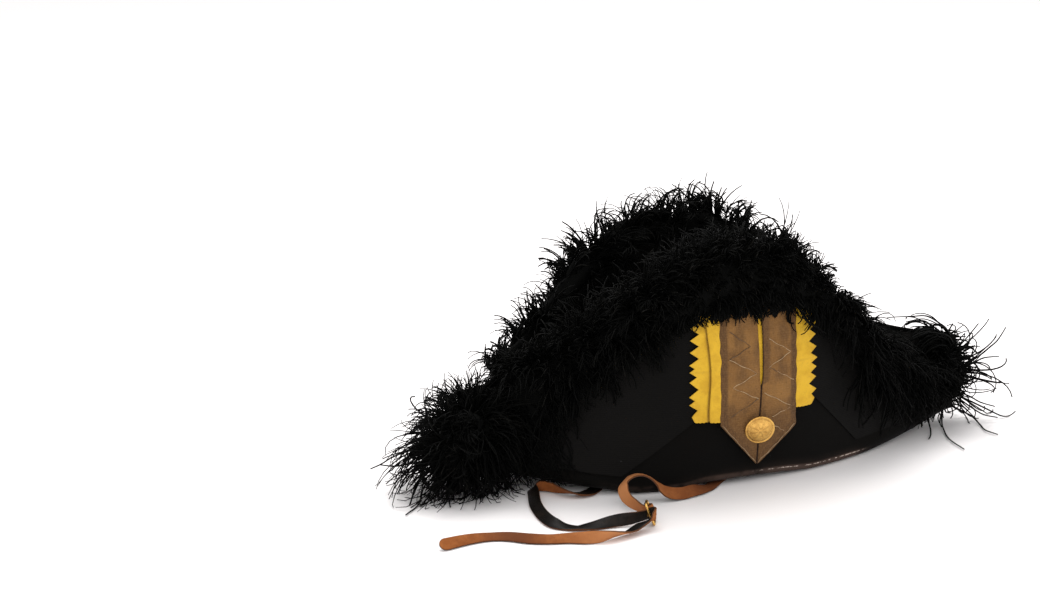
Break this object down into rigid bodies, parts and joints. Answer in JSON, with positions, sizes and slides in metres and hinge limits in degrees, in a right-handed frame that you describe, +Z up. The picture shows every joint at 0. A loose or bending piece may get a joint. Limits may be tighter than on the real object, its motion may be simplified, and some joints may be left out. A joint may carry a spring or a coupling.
{
  "type": "bicorne hat",
  "caption": "Black felt bicorne with upturned wings, curled feather edging, end tufts, pinked silk cockade, lace loop with button, and a leather chin strap.",
  "frame": {"origin": "on the surface the hat rests on, under the middle of the hat's box without the chin strap", "axes": "+X to the hat's front, +Z up, -Y to the side with the cockade"},
  "size_m": [0.5612, 0.2606, 0.209],
  "materials": {
    "felt": "matt napped felt",
    "braid": "ribbed silk with a soft sheen",
    "silk": "satin silk",
    "lace": "tarnished metal thread",
    "gilt": "worn gilt",
    "feather": "soft curled barbs",
    "leather": "black grain side, undyed flesh side"
  },
  "bodies": {
    "root": {"crown": "felt", "wing_right": "felt", "wing_left": "felt", "braid_right": "braid", "silk_cockade": "silk", "lace_loop": "lace", "button": "gilt", "feather_edge_right": "feather", "feather_edge_left": "feather", "tuft_front": "feather", "tuft_back": "feather", "strap_long": "leather", "strap_short": "leather", "buckle_frame": "gilt", "buckle_prong": "gilt"}
  },
  "joints": []
}
